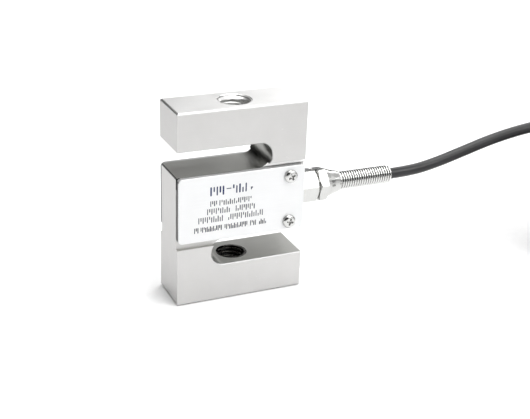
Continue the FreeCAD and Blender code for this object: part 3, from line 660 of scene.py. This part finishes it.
def maths(tree, kind, a, b=0.0, c=None):
    n = tree.nodes.new("ShaderNodeMath")
    n.operation = kind
    for i, value in enumerate((a, b, c)):
        if value is None:
            continue
        if isinstance(value, (int, float)):
            n.inputs[i].default_value = value
        else:
            tree.links.new(value, n.inputs[i])
    return n.outputs[0]


def bump(tree, shader, height, strength, distance, under=None):
    n = tree.nodes.new("ShaderNodeBump")
    n.inputs["Strength"].default_value = strength
    n.inputs["Distance"].default_value = distance
    tree.links.new(height, n.inputs["Height"])
    if under is not None:
        tree.links.new(under, n.inputs["Normal"])
    tree.links.new(n.outputs["Normal"], shader.inputs["Normal"])
    return n.outputs["Normal"]


def plain(
    name, colour, metal, rough, tone=0.05, rough_span=0.08, scale=400.0,
    stretch=(1, 1, 1), height=0.15, depth=0.00002, cloud=60.0, specular=None,
    coat=0.0, sheen=0.0, subsurface=0.0, other=None,
):
    """Colour and roughness that vary a little at two sizes, with a fine relief."""
    m, tree, shader, place = begin(name)
    fine = noise(tree, scaled(tree, place, stretch), scale, 5.0)
    large = noise(tree, place, cloud, 3.0)
    both = maths(tree, "ADD", maths(tree, "MULTIPLY", fine, 0.5), maths(tree, "MULTIPLY", large, 0.5))
    dark = tuple(c * (1 - tone) for c in colour)
    light = other if other else tuple(min(1.0, c * (1 + tone)) for c in colour)
    mixed = blend(tree, spread(tree, both, 0.0, 1.0, 0.35, 0.65), dark, light)
    tree.links.new(mixed, shader.inputs["Base Color"])
    tree.links.new(
        spread(tree, both, rough - rough_span, rough + rough_span, 0.35, 0.65),
        shader.inputs["Roughness"],
    )
    shader.inputs["Metallic"].default_value = metal
    if specular is not None:
        shader.inputs["Specular IOR Level"].default_value = specular
    if coat:
        shader.inputs["Coat Weight"].default_value = coat
        shader.inputs["Coat Roughness"].default_value = 0.12
    if sheen:
        shader.inputs["Sheen Weight"].default_value = sheen
    if subsurface:
        shader.inputs["Subsurface Weight"].default_value = subsurface
        shader.inputs["Subsurface Radius"].default_value = (0.0010, 0.0009, 0.0008)
        shader.inputs["Subsurface Scale"].default_value = 1.0
    bump(tree, shader, fine, height, depth)
    return m


def ground_steel(name):
    """Satin nickel on ground steel; the top and bottom (loaded) faces are painted brighter as a painted
    highlight, and the slots darker as painted shade.
    """
    m, tree, shader, place = begin(name)
    geometry = tree.nodes.new("ShaderNodeNewGeometry")
    parts = tree.nodes.new("ShaderNodeSeparateXYZ")
    tree.links.new(geometry.outputs["Normal"], parts.inputs[0])
    where = tree.nodes.new("ShaderNodeSeparateXYZ")
    tree.links.new(place, where.inputs[0])
    level = maths(tree, "GREATER_THAN", maths(tree, "ABSOLUTE", parts.outputs["Z"]), 0.7)
    facing = maths(tree, "GREATER_THAN", maths(tree, "ABSOLUTE", parts.outputs["Y"]), 0.6)
    # how far the height is from the block's middle: the slots lie 13.2 to 23.5 mm away
    off = maths(tree, "ABSOLUTE", maths(tree, "SUBTRACT", where.outputs["Z"], 0.0381))
    in_band = maths(
        tree, "MULTIPLY",
        maths(tree, "GREATER_THAN", off, 0.01315), maths(tree, "LESS_THAN", off, 0.0236),
    )
    inside = maths(tree, "LESS_THAN", maths(tree, "ABSOLUTE", where.outputs["X"]), 0.02535)
    slot = maths(
        tree, "MULTIPLY", maths(tree, "MULTIPLY", in_band, inside),
        maths(tree, "SUBTRACT", 1.0, facing),
    )
    end = maths(tree, "MULTIPLY", level, maths(tree, "GREATER_THAN", off, 0.0375))
    round_lines = noise(tree, scaled(tree, place, (60, 60, 5200)), 1.0, 3.0, 0.6)
    top_lines = noise(tree, scaled(tree, place, (60, 5200, 60)), 1.0, 3.0, 0.6)
    lines = maths(
        tree, "ADD",
        maths(tree, "MULTIPLY", round_lines, maths(tree, "SUBTRACT", 1.0, level)),
        maths(tree, "MULTIPLY", top_lines, level),
    )
    clouds = noise(tree, place, 70.0, 4.0, 0.6, 0.3)
    small = noise(tree, place, 900.0, 3.0)
    tone = maths(
        tree, "ADD", maths(tree, "MULTIPLY", clouds, 0.7), maths(tree, "MULTIPLY", lines, 0.3)
    )
    tone = spread(tree, tone, 0.0, 1.0, 0.36, 0.64)
    outer = blend(tree, tone, (0.565, 0.560, 0.553), (0.610, 0.605, 0.598))
    # the top and bottom faces get a brighter copy of the steel colour: painted highlight
    painted_lit_ends = blend(tree, tone, (0.750, 0.748, 0.740), (0.800, 0.797, 0.790))
    # the slots get a darker copy of the steel colour: painted shade where the arms shade them
    milled = blend(tree, tone, (0.405, 0.405, 0.385), (0.455, 0.455, 0.435))
    base = blend(tree, end, outer, painted_lit_ends)
    # a few pale scuffs
    scuff = noise(tree, scaled(tree, place, (500, 140, 900), (0.3, 0.2, 0.5)), 1.0, 2.0)
    base = blend(
        tree, spread(tree, scuff, 0.0, 0.35, 0.70, 0.80), base, (0.80, 0.80, 0.79)
    )
    # the round end of the upper slot is painted darker than its straight part: painted shade
    painted_end_shade = blend(tree, tone, (0.275, 0.275, 0.262), (0.320, 0.320, 0.305))
    end_shade_mask = maths(
        tree, "MULTIPLY", spread(tree, where.outputs["X"], 0.0, 1.0, 0.0045, 0.0090),
        maths(tree, "GREATER_THAN", where.outputs["Z"], 0.0381),
    )
    milled = blend(tree, end_shade_mask, milled, painted_end_shade)
    base = blend(tree, slot, base, milled)
    # the long broken edges are painted a darker grey than the faces, toning down the highlight they catch:
    # painted shade
    cut = maths(
        tree, "MULTIPLY",
        maths(tree, "GREATER_THAN", maths(tree, "ABSOLUTE", parts.outputs["Z"]), 0.55),
        maths(tree, "GREATER_THAN", maths(tree, "ABSOLUTE", parts.outputs["Y"]), 0.55),
    )
    base = blend(tree, cut, base, blend(tree, tone, (0.46, 0.46, 0.46), (0.52, 0.52, 0.52)))
    # a thin dark line is painted along each slot's inner edge at the side face, beside the cover's edge: painted
    # shade
    edge = maths(
        tree, "MULTIPLY",
        maths(tree, "LESS_THAN", maths(tree, "ABSOLUTE", maths(tree, "SUBTRACT", off, 0.0131)), 0.00034),
        maths(tree, "GREATER_THAN", maths(tree, "ABSOLUTE", where.outputs["X"]), 0.02505),
    )
    # the slots open on opposite ends: the upper at -x, the lower at +x
    mouth = maths(
        tree, "MULTIPLY", where.outputs["X"], maths(tree, "SUBTRACT", where.outputs["Z"], 0.0381)
    )
    edge = maths(tree, "MULTIPLY", edge, maths(tree, "LESS_THAN", mouth, 0.0))
    # the recess round the covers' upper corners is painted nearly black, at -x only: painted shade
    deep = maths(tree, "LESS_THAN", maths(tree, "ABSOLUTE", where.outputs["Y"]), 0.0083)
    recess = maths(
        tree, "MULTIPLY", maths(tree, "MULTIPLY", facing, deep),
        maths(
            tree, "MULTIPLY", maths(tree, "GREATER_THAN", where.outputs["Z"], 0.0470),
            maths(tree, "LESS_THAN", where.outputs["Z"], 0.05135),
        ),
    )
    recess = maths(tree, "MULTIPLY", recess, maths(tree, "LESS_THAN", where.outputs["X"], 0.0))
    # over the covers the recess is painted bright against its shade (painted light), with a thin painted shade
    # line along the sheet's top edge
    painted_lit_strip = maths(
        tree, "MULTIPLY", maths(tree, "MULTIPLY", facing, deep),
        maths(tree, "GREATER_THAN", where.outputs["Z"], 0.05135),
    )
    base = blend(tree, painted_lit_strip, base, blend(tree, tone, (0.88, 0.88, 0.87), (0.95, 0.95, 0.94)))
    painted_gap_line = maths(tree, "MULTIPLY", painted_lit_strip, maths(tree, "LESS_THAN", where.outputs["Z"], 0.05175))
    # the slot-edge line, the recess corner and the line along the sheet are all painted shade, near black
    painted_shade = maths(tree, "MAXIMUM", maths(tree, "MAXIMUM", edge, recess), maths(tree, "MULTIPLY", painted_gap_line, 0.8))
    base = blend(tree, painted_shade, base, blend(tree, tone, (0.030, 0.030, 0.030), (0.055, 0.055, 0.055)))
    tree.links.new(base, shader.inputs["Base Color"])
    rough_mix = maths(
        tree, "ADD", maths(tree, "MULTIPLY", clouds, 0.5), maths(tree, "MULTIPLY", lines, 0.5)
    )
    satin = spread(tree, rough_mix, 0.44, 0.53, 0.35, 0.65)
    tree.links.new(
        maths(tree, "SUBTRACT", satin, maths(tree, "MULTIPLY", slot, 0.14)),
        shader.inputs["Roughness"],
    )
    shader.inputs["Metallic"].default_value = 1.0
    height = maths(
        tree, "ADD", maths(tree, "MULTIPLY", lines, 0.8), maths(tree, "MULTIPLY", small, 0.2)
    )
    bump(tree, shader, height, 0.12, 0.000012)
    return m


STEEL = ground_steel("satin_nickel_steel")
def cut_thread():
    """Tapped thread, painted bright in the upper hole as a painted highlight and nearly black low down as
    painted shade.
    """
    m, tree, shader, place = begin("cut_thread")
    where = tree.nodes.new("ShaderNodeSeparateXYZ")
    tree.links.new(place, where.inputs[0])
    fine = noise(tree, scaled(tree, place, (300, 300, 2400)), 1.0, 4.0)
    clouds = noise(tree, place, 420.0, 3.0)
    both = maths(tree, "ADD", maths(tree, "MULTIPLY", fine, 0.5), maths(tree, "MULTIPLY", clouds, 0.5))
    mixed = spread(tree, both, 0.0, 1.0, 0.36, 0.64)
    # lit and shaded copies of the thread colour: painted highlight up high, painted shade low down
    bright = blend(tree, mixed, (0.68, 0.68, 0.67), (0.78, 0.78, 0.77))
    painted_thread_shade = blend(tree, mixed, (0.045, 0.043, 0.040), (0.120, 0.116, 0.110))
    high = maths(tree, "GREATER_THAN", where.outputs["Z"], 0.038)
    tree.links.new(blend(tree, high, painted_thread_shade, bright), shader.inputs["Base Color"])
    skin = spread(tree, both, 0.18, 0.34, 0.36, 0.64)
    tree.links.new(
        maths(tree, "ADD", skin, maths(tree, "MULTIPLY", high, 0.12)), shader.inputs["Roughness"]
    )
    shader.inputs["Metallic"].default_value = 1.0
    bump(tree, shader, fine, 0.2, 0.00002)
    return m


THREAD = cut_thread()


def satin_plate():
    """Pale satin sheet; its sheared left and right sides are painted nearly black as painted shade, the top and
    bottom edges grey.
    """
    m, tree, shader, place = begin("satin_cover")
    geometry = tree.nodes.new("ShaderNodeNewGeometry")
    parts = tree.nodes.new("ShaderNodeSeparateXYZ")
    tree.links.new(geometry.outputs["True Normal"], parts.inputs[0])
    side = spread(tree, maths(tree, "ABSOLUTE", parts.outputs["X"]), 0.0, 1.0, 0.80, 0.90)
    edge = spread(tree, maths(tree, "ABSOLUTE", parts.outputs["Z"]), 0.0, 1.0, 0.80, 0.90)
    lines = noise(tree, scaled(tree, place, (90, 90, 6000)), 1.0, 3.0)
    clouds = noise(tree, place, 55.0, 3.0)
    both = maths(
        tree, "ADD", maths(tree, "MULTIPLY", clouds, 0.55), maths(tree, "MULTIPLY", lines, 0.45)
    )
    mixed = spread(tree, both, 0.0, 1.0, 0.36, 0.64)
    base = blend(tree, mixed, (0.735, 0.740, 0.745), (0.785, 0.790, 0.795))
    # the left and right sides get a near-black colour: painted shade
    base = blend(tree, side, base, blend(tree, mixed, (0.045, 0.045, 0.047), (0.075, 0.075, 0.078)))
    base = blend(tree, edge, base, blend(tree, mixed, (0.50, 0.50, 0.50), (0.58, 0.58, 0.58)))
    tree.links.new(base, shader.inputs["Base Color"])
    tree.links.new(spread(tree, both, 0.34, 0.44, 0.36, 0.64), shader.inputs["Roughness"])
    shader.inputs["Metallic"].default_value = 0.35
    bump(tree, shader, lines, 0.10, 0.00001)
    return m


PLATE = satin_plate()
INK = plain("printed_ink", (0.020, 0.034, 0.110), 0.0, 0.55, 0.25, 0.06, 2600.0, height=0.3, depth=0.000006)
SCREW = plain("stainless_screw", (0.60, 0.60, 0.59), 1.0, 0.26, 0.06, 0.07, 1400.0, height=0.12)


def plated_brass():
    """Bright nickel on turned and milled brass: fine tool rings round the cable's axis."""
    m, tree, shader, place = begin("bright_nickel")
    rings = noise(tree, scaled(tree, place, (5200, 40, 40)), 1.0, 2.0)
    clouds = noise(tree, place, 260.0, 4.0)
    both = maths(
        tree, "ADD", maths(tree, "MULTIPLY", clouds, 0.5), maths(tree, "MULTIPLY", rings, 0.5)
    )
    base = blend(
        tree, spread(tree, both, 0.0, 1.0, 0.36, 0.64), (0.53, 0.53, 0.52), (0.59, 0.59, 0.58)
    )
    tree.links.new(base, shader.inputs["Base Color"])
    tree.links.new(spread(tree, both, 0.10, 0.18, 0.36, 0.64), shader.inputs["Roughness"])
    shader.inputs["Metallic"].default_value = 1.0
    bump(tree, shader, rings, 0.08, 0.000012)
    return m


GLAND = plated_brass()
WIRE_STEEL = plain("spring_wire", (0.62, 0.62, 0.61), 1.0, 0.15, 0.06, 0.06, 1800.0, height=0.1)
SEAL = plain("black_rubber", (0.018, 0.018, 0.018), 0.0, 0.62, 0.2, 0.1, 900.0, height=0.4, depth=0.00004)


def jacket():
    """Dark grey PVC: a faint lay of the cores beneath, and a fine matt skin."""
    m, tree, shader, place = begin("cable_jacket")
    fine = noise(tree, place, 2600.0, 4.0)
    large = noise(tree, place, 90.0, 4.0, 0.6)
    base = blend(
        tree, spread(tree, large, 0.0, 1.0, 0.35, 0.65), (0.011, 0.011, 0.012), (0.019, 0.019, 0.020)
    )
    # rubbed, slightly paler places
    rub = noise(tree, place, 240.0, 5.0, 0.7)
    base = blend(tree, spread(tree, rub, 0.0, 0.35, 0.60, 0.78), base, (0.040, 0.040, 0.040))
    tree.links.new(base, shader.inputs["Base Color"])
    tree.links.new(spread(tree, fine, 0.30, 0.42), shader.inputs["Roughness"])
    shader.inputs["Specular IOR Level"].default_value = 0.40
    under = bump(tree, shader, large, 0.10, 0.00012)
    bump(tree, shader, fine, 0.22, 0.00002, under)
    return m


JACKET = jacket()


def pvc(name, colour):
    return plain(name, colour, 0.0, 0.34, 0.10, 0.06, 1500.0, height=0.12, specular=0.5)


RED = pvc("red_insulation", (0.52, 0.022, 0.020))
BLACK = pvc("black_insulation", (0.014, 0.014, 0.015))
GREEN = pvc("green_insulation", (0.018, 0.22, 0.065))
WHITE = pvc("white_insulation", (0.78, 0.78, 0.75))
TINNED = plain("tinned_copper", (0.66, 0.65, 0.62), 1.0, 0.30, 0.12, 0.08, 2200.0, height=0.25)
SHRINK = plain("heat_shrink", (0.016, 0.016, 0.017), 0.0, 0.46, 0.18, 0.07, 700.0, height=0.25, depth=0.00005)
NYLON = plain("nylon_tie", (0.74, 0.74, 0.70), 0.0, 0.38, 0.05, 0.06, 800.0, height=0.2, subsurface=0.25)
FOIL = plain("gauge_carrier", (0.50, 0.25, 0.055), 0.0, 0.20, 0.15, 0.05, 1600.0, height=0.1, coat=0.4)
BOARD = plain("terminal_board", (0.045, 0.16, 0.060), 0.0, 0.34, 0.15, 0.06, 1800.0, height=0.15, coat=0.3)
RIBBON = plain("copper_ribbon", (0.72, 0.45, 0.26), 1.0, 0.28, 0.10, 0.06, 2400.0, height=0.1)
SILICONE = plain("silicone", (0.62, 0.62, 0.58), 0.0, 0.34, 0.05, 0.08, 260.0, height=0.35, depth=0.0002, subsurface=0.35)


def dress(obj, material):
    target = NODES[obj] if isinstance(obj, str) else obj
    data = target.data
    if len(data.materials) == 0:
        data.materials.append(material)
    else:
        for i in range(len(data.materials)):
            data.materials[i] = material


for name, material in {
    "s_beam": STEEL,
    "front_cover_plate": PLATE,
    "rear_cover_plate": PLATE,
    "front_strain_gauges": FOIL,
    "rear_strain_gauges": FOIL,
    "front_terminal_board": BOARD,
    "rear_terminal_board": BOARD,
    "front_gauge_leads": RIBBON,
    "rear_gauge_leads": RIBBON,
    "front_potting": SILICONE,
    "rear_potting": SILICONE,
    "red_core": RED,
    "black_core": BLACK,
    "green_core": GREEN,
    "white_core": WHITE,
    "gland_sealing_washer": SEAL,
    "gland_body": GLAND,
    "gland_cap_nut": GLAND,
    "cable_grommet": SEAL,
    "cable_entry": JACKET,
    "coil_ties": NYLON,
}.items():
    dress(name, material)

PIECES = [
    (cable, JACKET, "cable_jacket", ("cable_run", "cable_coil", "cable_tail")),
    (spring, WIRE_STEEL, "spring_wire", ("strain_relief_spring",)),
    (upper_thread, THREAD, "beam_steel", ()),
    (lower_thread, THREAD, "beam_steel", ()),
    (cover_print, INK, "cover_plate", ()),
    (lead_pieces["red_lead"], RED, "core_red", ("red_lead",)),
    (lead_pieces["black_lead"], BLACK, "core_black", ("black_lead",)),
    (lead_pieces["green_lead"], GREEN, "core_green", ("green_lead",)),
    (lead_pieces["white_lead"], WHITE, "core_white", ("white_lead",)),
    (lead_pieces["shield_pigtail"], TINNED, "shield", ("shield_pigtail",)),
    (tinned, TINNED, "shield", ()),
    (sleeve, SHRINK, "heat_shrink", ("cable_end_sleeve",)),
]
for side in ("front", "rear"):
    for piece in screw_pieces[side]:
        PIECES.append((piece, SCREW, "cover_screw", (side + "_cover_screws",)))
for piece, material, slot, stood_for in PIECES:
    dress(piece, material)
    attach(piece, "root")
    if stood_for:
        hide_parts(*stood_for)

# ---------------------------------------------------------------- floor and light
floor_data = bpy.data.meshes.new("floor")
floor_data.from_pydata([(-3, -3, 0), (3, -3, 0), (3, 3, 0), (-3, 3, 0)], [], [(0, 1, 2, 3)])
floor = link("floor", floor_data, smooth=False)
floor.location.z = -0.00002
m, tree, shader, place = begin("paper")
grain = noise(tree, place, 400.0, 4.0)
white = blend(tree, spread(tree, grain, 0.0, 1.0), (0.905, 0.905, 0.905), (0.935, 0.935, 0.935))
tree.links.new(white, shader.inputs["Base Color"])
shader.inputs["Roughness"].default_value = 0.9
shader.inputs["Specular IOR Level"].default_value = 0.2
floor_data.materials.append(m)


def softbox(name, place, target, wide, tall, radiance):
    """A rectangular lamp; its power follows from how bright its face is."""
    data = bpy.data.lights.new(name, "AREA")
    data.shape = "RECTANGLE"
    data.size, data.size_y = wide, tall
    data.energy = radiance * math.pi * wide * tall
    obj = bpy.data.objects.new(name, data)
    scene.collection.objects.link(obj)
    obj.location = place
    way = Vector(target) - Vector(place)
    obj.rotation_mode = "QUATERNION"
    obj.rotation_quaternion = way.to_track_quat("-Z", "Y")
    return obj


softbox("overhead", (0.0, -0.02, 0.50), (0.0, -0.02, 0.0), 0.36, 0.36, 3.7)
softbox("right_rear", (0.35, 0.35, 0.35), (0.0, 0.0, 0.04), 0.30, 0.30, 1.86)

world = bpy.data.worlds.new("studio")
scene.world = world
world.use_nodes = True
wt = world.node_tree
ground = wt.nodes["Background"]
way = wt.nodes.new("ShaderNodeTexCoord").outputs["Generated"]
split = wt.nodes.new("ShaderNodeSeparateXYZ")
wt.links.new(way, split.inputs[0])
compass = maths(wt, "ARCTAN2", split.outputs["Y"], split.outputs["X"])
PEAK = 10.0


def panel(bearing, stops, half=30.0, soft=5.0):
    """Light from one side: stops are (elevation in degrees, brightness)."""
    turned = maths(wt, "COSINE", maths(wt, "SUBTRACT", compass, math.radians(bearing)))
    side = spread(
        wt, turned, 0.0, 1.0,
        math.cos(math.radians(half + soft)), math.cos(math.radians(half - soft)),
    )
    ramp = wt.nodes.new("ShaderNodeValToRGB")
    wt.links.new(split.outputs["Z"], ramp.inputs[0])
    band = ramp.color_ramp
    band.interpolation = "LINEAR"
    while len(band.elements) > 1:
        band.elements.remove(band.elements[-1])
    for k, (elevation, value) in enumerate(stops):
        at = math.sin(math.radians(elevation))
        e = band.elements[0] if k == 0 else band.elements.new(at)
        e.position = at
        e.color = (value / PEAK,) * 3 + (1.0,)
    return maths(wt, "MULTIPLY", side, ramp.outputs[0])


total = maths(wt, "ADD", panel(
    65.0, [(0, 0.0), (14, 0.05), (17, 0.60), (28, 0.60), (32, 0.05), (48, 0.05), (52, 3.35), (68, 3.35), (72, 0)]
), panel(
    305.0, [(0, 1.0), (10, 1.0), (14, 0.55), (27, 0.60), (32, 5.8), (48, 6.0), (52, 1.1), (68, 1.1), (72, 0)]
))
total = maths(wt, "ADD", total, panel(
    5.0, [(0, 0.0), (14, 0.0), (17, 1.31), (28, 1.31), (32, 0.77), (48, 0.77), (52, 0.30), (68, 0.30), (72, 0)]
))
zenith = spread(wt, split.outputs["Z"], 0.0, 0.286, math.sin(math.radians(69)), math.sin(math.radians(72)))
total = maths(wt, "ADD", total, zenith)
wt.links.new(maths(wt, "MULTIPLY", total, PEAK), ground.inputs["Strength"])
ground.inputs["Color"].default_value = (1.0, 1.0, 1.0, 1.0)
